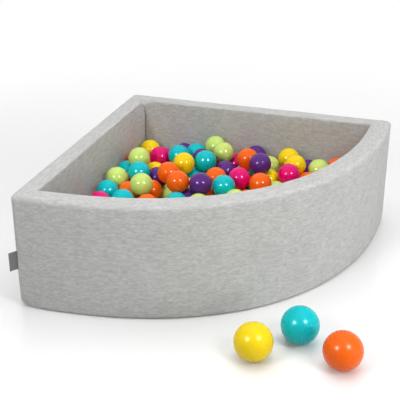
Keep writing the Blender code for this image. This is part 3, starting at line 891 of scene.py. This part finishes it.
def head_colours(heads, random):
    """The seen heads have the photograph's colours, and the rest follow at random."""
    names = [None] * len(heads)
    for colour, seen in HEAD_SHARES.items():
        for u, v in seen:
            free = [k for k in range(len(heads)) if names[k] is None]
            names[nearest_head(heads, u, v, free)] = colour
    return [name or random_colour(random) for name in names]


def random_colour(random):
    return list(COLOURS)[random.integers(len(COLOURS))]


def layer_places(middle, drop):
    """Starting places of two layers below the heads' middle height."""
    pitch = 2 * BALL_RADIUS * LAYER_SPREAD
    count = int(SIDE / pitch) + 2
    grid = []
    for layer in (1, 2):
        for row in range(count):
            for column in range(count):
                x = -SIDE / 2 + (column + (row + layer) % 2 / 2) * pitch
                y = SIDE / 2 - (row + layer / 3) * pitch * math.sin(math.pi / 3)
                grid.append((x, y, middle - layer * drop))
    places = np.array(grid)
    kept = places.copy()
    keep_inside(kept, BALL_RADIUS)
    return places[np.linalg.norm(kept - places, axis=1) < LAYER_EDGE]


def lower_places(heads):
    """Centres of the balls below the heads, in two layers that lie in each other's pockets."""
    random = np.random.default_rng(LAYER_SEED)
    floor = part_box("cover_floor")[1].z + BALL_RADIUS
    middle = heads[:, 2].mean()
    places = layer_places(middle, (middle - floor) / 2)
    places[:, :2] += random.normal(scale=LAYER_JITTER, size=(len(places), 2))
    own = np.arange(len(places))
    for _ in range(SETTLE_STEPS):
        apart = places[:, None] - np.vstack([places, heads])[None]
        distance = np.linalg.norm(apart, axis=2)
        distance[own, own] = 1.0
        lap = np.maximum(2 * BALL_RADIUS - distance, 0.0)
        lap[own, own] = 0.0
        places += SETTLE_PUSH * ((lap / distance)[:, :, None] * apart).sum(axis=1)
        places[:, 2] = np.maximum(places[:, 2], floor)
        keep_inside(places, BALL_RADIUS + SETTLE_GAP)
    return places


def add_single_balls(finishes, random):
    """The balls of the top layer and on the floor, each on a body of its own."""
    for name in frame["nodes"]:
        if not name.startswith(("ball_", "loose_ball_")) or name == "ball_heap":
            continue
        low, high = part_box(name)
        colour = name.removeprefix("loose_").split("_")[1]
        finish = finishes[f"loose_{colour}" if name.startswith("loose_") else colour]
        form = ball_forms([np.array((low + high) / 2)], (high.z - low.z) / 2, SINGLE_CUTS, random)
        new_piece(f"glossy_{name}", *form, finish, f"ball_plastic_{colour}", name, name)


def add_heap(finishes, random):
    """The balls below: a piece for the heads of each colour, and one for the layers under them."""
    heads = head_places()
    heads[nearest_head(heads, *SUNK_HEAD, range(len(heads))), 2] -= SUNK_DEPTH
    groups = {}
    for place, colour in zip(heads, head_colours(heads, random)):
        groups.setdefault((colour, "upper"), []).append(place)
    for place in lower_places(heads):
        groups.setdefault((random_colour(random), "lower"), []).append(place)
    for (colour, level), places in sorted(groups.items()):
        form = ball_forms(places, BALL_RADIUS, LEVEL_CUTS[level], random)
        new_piece(f"{level}_balls_{colour}", *form, finishes[colour], f"ball_plastic_{colour}", "ball_heap")


# Label and zip

def middle_height(name):
    low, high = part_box(name)
    return (low.z + high.z) / 2


def label_path(reach):
    """Plan line of the ribbon: out of the seam, round its fold and back."""
    fold = arc((reach - LABEL_OPEN / 2, 0.0), LABEL_OPEN / 2, 90, -90, LABEL_FOLD_STEPS)
    there = np.linspace((-LABEL_TUCK, LABEL_PLY / 2), fold[0], LABEL_STEPS)[:-1]
    back = np.linspace(fold[-1], (-LABEL_TUCK, -LABEL_PLY / 2), LABEL_STEPS)[1:]
    return [(u, v, 0.0) for u, v in np.vstack([there, fold, back])]


def add_label(finish):
    """The folded ribbon stands out of the seam, sags a little and bends."""
    tab = frame["nodes"]["label_tab"]
    points = np.array([tab.matrix_world @ v.co for v in tab.data.vertices])[:, :2]
    low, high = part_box("label_tab")
    tip, root = points.min(axis=0), points.max(axis=0)
    out = unit(tip - root)
    side = np.array((-out[1], out[0]))
    reach, height = np.linalg.norm(tip - root), high.z - low.z
    form, faces = strip(label_path(reach), UPWARDS, height, LABEL_PLY, LABEL_CUTS)
    share = np.maximum(form[:, 0], 0.0) / reach
    form[:, 1] += LABEL_BEND * share**2 + LABEL_WAVE * share * np.sin(form[:, 2] / height * LABEL_WAVE_TURN)
    form[:, 2] -= LABEL_DROOP * share**2
    plan = root + form[:, :1] * out + form[:, 1:2] * side
    placed = np.column_stack([plan, form[:, 2] + (low.z + high.z) / 2])
    piece = new_piece("label_ribbon", placed, faces, finish, "label_ribbon", "label_tab", sharp=STRIP_SHARP)


def tooth(low, high, way):
    """One coil of the zip at x = 0, from its tape's edge over the chain's middle."""
    middle, half = (low.z + high.z) / 2, (high.z - low.z) / 2
    top = high.y - TOOTH_RADIUS
    foot = low.y + TAPE_THICK + TOOTH_RADIUS / 2
    rise = (foot + top) / 2
    depths = (foot, rise, top, top, rise)
    path = [(0.0, y, middle + way * half * share) for y, share in zip(depths, TOOTH_REACH_SHARES)]
    return tube(path, [TOOTH_RADIUS * share for share in TOOTH_THICK_SHARES], ALONG_X, TOOTH_SIDES)


def stitch():
    """One stitch along x that dips into the cloth at both ends."""
    path = [(STITCH_LENGTH * u, STITCH_RADIUS * (1 - STITCH_DIP * u * u), 0.0) for u in STITCH_SHARES]
    return tube(path, [STITCH_RADIUS * share for share in STITCH_THICK_SHARES], UPWARDS)


def add_tapes(ribbon, thread):
    for side, way in (("upper", 1), ("lower", -1)):
        name = f"zip_tape_{side}"
        low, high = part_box(name)
        far = high.z if way > 0 else low.z
        near = middle_height("zip_chain") + way * TAPE_EDGE_GAP
        y, z = low.y + TAPE_THICK / 2, (far + near) / 2
        width = abs(far - near)
        path = [(x, y, z) for x in np.linspace(low.x, high.x, TAPE_STEPS)]
        form = strip(path, UPWARDS, width, TAPE_THICK, TAPE_CUTS)
        piece = new_piece(f"tape_{side}", *form, ribbon, "zip_tape", name, sharp=STRIP_SHARP)
        places = np.arange(low.x + STITCH_PITCH, high.x - STITCH_PITCH, STITCH_PITCH)
        row = [(x, low.y + TAPE_THICK, far - way * STITCH_MARGIN) for x in places]
        new_piece(f"stitches_{side}", *repeated(stitch(), row), thread, "zip_tape", name)


def add_coils(finish):
    """Two rows of coil teeth that mesh: the lower row lies half a pitch further."""
    low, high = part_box("zip_chain")
    for name, way, shift in (("upper", 1, 0.5), ("lower", -1, 1.0)):
        places = np.arange(low.x + TOOTH_PITCH * shift, high.x - TOOTH_RADIUS, TOOTH_PITCH)
        form = repeated(tooth(low, high, way), [(x, 0.0, 0.0) for x in places])
        new_piece(f"coil_{name}", *form, finish, "zip_teeth", "zip_chain")


def add_clips(metal):
    """The zip's stops: bands bent over the ends of the chain."""
    middle = middle_height("zip_chain")
    for end in ("left", "right"):
        low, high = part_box(f"zip_stop_{end}")
        reach, rise = (high.z - low.z - CLIP_THICK) / 2, high.y - low.y - CLIP_THICK / 2
        path = [(0.0, low.y + rise * math.sin(a)**CLIP_SQUARE, middle + reach * math.cos(a))
                for a in np.linspace(0.0, math.pi, CLIP_STEPS)]
        form, faces = strip(path, ALONG_X, high.x - low.x, CLIP_THICK)
        form[:, 0] += (low.x + high.x) / 2
        new_piece(f"clip_{end}", form, faces, metal, "zip_metal", f"zip_stop_{end}", sharp=STRIP_SHARP)


def pull_pin():
    """The line that the pull tab turns about, as its joint has it."""
    joint = next(j for j in frame["record"]["behaviour"]["joints"] if j["name"] == "pull_tab_flip")
    return joint["pos_m"]


def slider_section(half, foot, roof, out, groove):
    """The slider's channel: a roof with two rounded shoulders, open towards the chain."""
    shoulder = SLIDER_ROUND
    left = arc((out - shoulder, -half + shoulder), shoulder, -90, 0, SLIDER_ROUND_STEPS)
    right = arc((out - shoulder, half - shoulder), shoulder, 0, 90, SLIDER_ROUND_STEPS)
    inside = [(foot, groove), (roof, groove), (roof, -groove), (foot, -groove)]
    return [(foot, -half), *left, *right, (foot, half)] + inside


def slider_channel(low, high, out):
    """The slider's body, with its wide throat towards the open end."""
    chain_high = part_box("zip_chain")[1]
    middle, half = (low.z + high.z) / 2, (high.z - low.z) / 2
    roof = chain_high.y + (low.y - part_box("zip_tape_upper")[1].y)
    groove = chain_high.z - middle + SLIDER_DOME
    rings = []
    for share in np.linspace(0.0, 1.0, SLIDER_STATIONS):
        x = low.x + (high.x - low.x) * share
        waist = 1.0 - (1.0 - SLIDER_WAIST) * smooth_step(SLIDER_WAIST_START, 1.0, share)
        ends = math.sqrt(max(0.0, 1 - abs(2 * share - 1)**SLIDER_END_SQUARE))
        reach = max(half * waist * (SLIDER_END + (1 - SLIDER_END) * ends), groove + SLIDER_LIP)
        crown = out - SLIDER_DOME * (2 * share - 1)**2
        rings.append([(x, y, middle + z) for y, z in slider_section(reach, low.y, roof, crown, groove)])
    return sweep(rings)


def slider_ear(pin, radius, foot, inside, outside):
    """A round ear with bevelled edges, from its inside to its outside height."""
    outline = np.vstack([arc(pin[:2], radius, 0, 180, EAR_STEPS),
                         [(pin[0] - radius, foot), (pin[0] + radius, foot)]])
    return sweep(raised(outline, bevel_levels(inside, outside)))


def add_slider(metal):
    """Slider with two ears and the pin of its pull tab."""
    low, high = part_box("zip_slider")
    tab_low, tab_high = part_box("zip_pull_tab")
    pin = pull_pin()
    middle = (low.z + high.z) / 2
    out = 2 * pin[1] - tab_high.y
    ear_low = (tab_high.z - tab_low.z) / 2 + PLATE_BEVEL
    forms = [slider_channel(low, high, out)]
    for way in (-1, 1):
        inside, outside = middle + way * ear_low, middle + way * (ear_low + EAR_THICK - PLATE_BEVEL)
        forms.append(slider_ear(pin, high.y - pin[1], out - SLIDER_ROUND, inside, outside))
    ends = ear_low + EAR_THICK
    path = [(pin[0], pin[1], middle + z) for z in (-ends, -ends + PLATE_BEVEL, 0.0, ends - PLATE_BEVEL, ends)]
    forms.append(tube(path, [PIN_RADIUS * share for share in PIN_THICK_SHARES], ALONG_X, PIN_SIDES))
    new_piece("slider_body", *joined(forms), metal, "zip_metal", "zip_slider", "slider", METAL_SHARP)


def add_pull_tab(metal):
    """Flat tab with a rolled root round the pin, a neck, a round end and a slot."""
    low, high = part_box("zip_pull_tab")
    pin = pull_pin()
    middle, half = (low.z + high.z) / 2, (high.z - low.z) / 2
    root = high.y - pin[1]
    neck = PULL_NECK / 2
    sides = [(pin[0], neck), (pin[0] + root * 2, neck), (pin[0] + root * 4, half)]
    round_end = arc((high.x - half, 0.0), half, -90, 90, PULL_END_STEPS)
    outline = np.vstack([[(x, -z) for x, z in sides], round_end, sides[::-1]])
    slot = PULL_HOLE_WIDTH / 2
    last = (high.x - PULL_HOLE_MARGIN - slot, 0.0)
    first = (last[0] - PULL_HOLE_LENGTH + 2 * slot, 0.0)
    steps = len(outline) // 2
    hole = np.vstack([arc(first, slot, -180, -90, steps // 2), arc(last, slot, -90, 90, steps - 1),
                      arc(first, slot, 90, 180, steps - 1)])[:len(outline)]
    form, faces = bevelled_plate(outline, hole, high.y - PULL_THICK, high.y)
    flat = turned_out(np.column_stack([form[:, 0], form[:, 2], middle + form[:, 1]]), faces)
    levels = bevel_levels(-half, half)
    path = [(pin[0], pin[1], middle + z) for _, z in levels]
    rolled = tube(path, [root - inset for inset, _ in levels], ALONG_X, PULL_ROOT_SIDES)
    new_piece("pull_tab_plate", *joined([flat, rolled]), metal, "zip_metal", "zip_pull_tab", "pull_tab",
              METAL_SHARP)


# Camera, light and surroundings

def add_camera():
    data = bpy.data.cameras.new("camera")
    data.sensor_width = SENSOR_MM
    data.lens = FOCAL_PX / PHOTO_PX * SENSOR_MM
    camera = add_object("camera", data)
    camera.location = CAMERA_PLACE
    camera.rotation_euler = (math.pi / 2 - CAMERA_TILT, 0.0, CAMERA_TURN)
    bpy.context.scene.camera = camera
    return camera


def add_lamp(name, target, direction, distance, size, share, glint=False):
    """A soft box. A glint is only mirrored, and the other lamps only light."""
    data = bpy.data.lights.new(name, "AREA")
    data.shape = "RECTANGLE"
    data.size, data.size_y = size
    data.energy = share * math.pi**2 * distance**2
    lamp = add_object(name, data)
    lamp.visible_glossy = glint
    lamp.visible_diffuse = not glint
    lamp.location = target + direction.normalized() * distance
    lamp.rotation_euler = (-direction).to_track_quat("-Z", "Y").to_euler()


def seen_direction(camera, target, x, y):
    """Direction from the target of a lamp whose highlight shows at (x, y) of a ball's radius."""
    forward = (target - camera.location).normalized()
    right = forward.cross(Vector(UPWARDS)).normalized()
    up = right.cross(forward)
    normal = x * right + y * up - math.sqrt(1 - x * x - y * y) * forward
    return forward - 2 * forward.dot(normal) * normal


def add_lamps(camera):
    middle = Vector((0.0, 0.0, HEIGHT / 2))
    for name, highlight, size, share, glint in KEY_LAMPS:
        direction = seen_direction(camera, middle, *highlight)
        add_lamp(name, middle, direction, KEY_DISTANCE, size, share, glint)
    for name, direction, size, share in ROOM_LAMPS:
        add_lamp(name, middle, Vector(direction), ROOM_DISTANCE, size, share)


def seen_rays(tree):
    """1 for what the camera sees, directly or in a mirror or glass."""
    path = node(tree, "ShaderNodeLightPath", {}).outputs
    mirrored = math_node(tree, "MAXIMUM", path["Is Glossy Ray"], path["Is Transmission Ray"])
    return math_node(tree, "MAXIMUM", path["Is Camera Ray"], mirrored)


def add_world():
    """A little light from all sides. What is seen behind the floor is white."""
    world = bpy.data.worlds.new("surroundings")
    bpy.context.scene.world = world
    world.use_nodes = True
    tree = world.node_tree
    light = tree.nodes["Background"]
    set_inputs(light, {"Color": WHITE, "Strength": WORLD_LIGHT})
    seen = node(tree, "ShaderNodeBackground", {"Color": WHITE, "Strength": 1.0})
    shown = mix_shaders(tree, seen_rays(tree), light.outputs[0], seen.outputs[0])
    set_inputs(tree.nodes["World Output"], {"Surface": shown})


def floor_material():
    """Pale floor. What is seen of it is lifted to white, and keeps the shadows and a faint reflection."""
    made, tree, shader = new_material("pale_floor")
    set_inputs(shader, {"Base Color": FLOOR_COLOUR, "Roughness": 0.10, "Specular IOR Level": 0.6})
    glow = node(tree, "ShaderNodeEmission", {"Strength": FLOOR_GLOW})
    lifted = node(tree, "ShaderNodeAddShader", {0: shader.outputs[0], 1: glow.outputs[0]})
    white = node(tree, "ShaderNodeEmission", {"Strength": 1.0})
    reach = node(tree, "ShaderNodeVectorMath", {0: object_place(tree)}, operation="LENGTH").outputs["Value"]
    far = node(tree, "ShaderNodeMapRange", {"Value": reach, "From Min": FLOOR_NEAR, "From Max": FLOOR_FAR},
               interpolation_type="SMOOTHSTEP")
    seen = mix_shaders(tree, far.outputs["Result"], lifted.outputs[0], white.outputs[0])
    unseen = node(tree, "ShaderNodeBsdfDiffuse", {"Color": FLOOR_BOUNCE})
    surface = mix_shaders(tree, seen_rays(tree), unseen.outputs[0], seen)
    set_inputs(tree.nodes["Material Output"], {"Surface": surface})
    return made


def add_floor():
    mesh = bpy.data.meshes.new("floor")
    corners = [(x * FLOOR_HALF, y * FLOOR_HALF, 0.0) for x, y in ((-1, -1), (1, -1), (1, 1), (-1, 1))]
    mesh.from_pydata(corners, [], [(0, 1, 2, 3)])
    mesh.materials.append(floor_material())
    add_object("floor", mesh)


def main():
    bpy.context.scene.view_settings.view_transform = "Standard"
    add_lamps(add_camera())
    add_world()
    add_floor()
    add_soft_goods(jersey_material(), foam_material())
    finishes = {}
    for colour, tone in COLOURS.items():
        finishes[colour] = plastic_material(f"plastic_{colour}", tone, PIT_GLOSS)
    for colour in LOOSE_COLOURS:
        finishes[f"loose_{colour}"] = plastic_material(f"loose_{colour}", COLOURS[colour], LOOSE_GLOSS)
    random = np.random.default_rng(COLOUR_SEED)
    add_single_balls(finishes, random)
    add_heap(finishes, random)
    add_label(ribbon_material("label_weave", LABEL_TONES, LABEL_THREAD))
    tape = ribbon_material("tape_weave", TAPE_TONES, TAPE_THREAD)
    coil = ribbon_material("coil_plastic", COIL_TONES, COIL_THREAD)
    metal = metal_material()
    add_tapes(tape, coil)
    add_coils(coil)
    add_clips(metal)
    add_slider(metal)
    add_pull_tab(metal)


main()
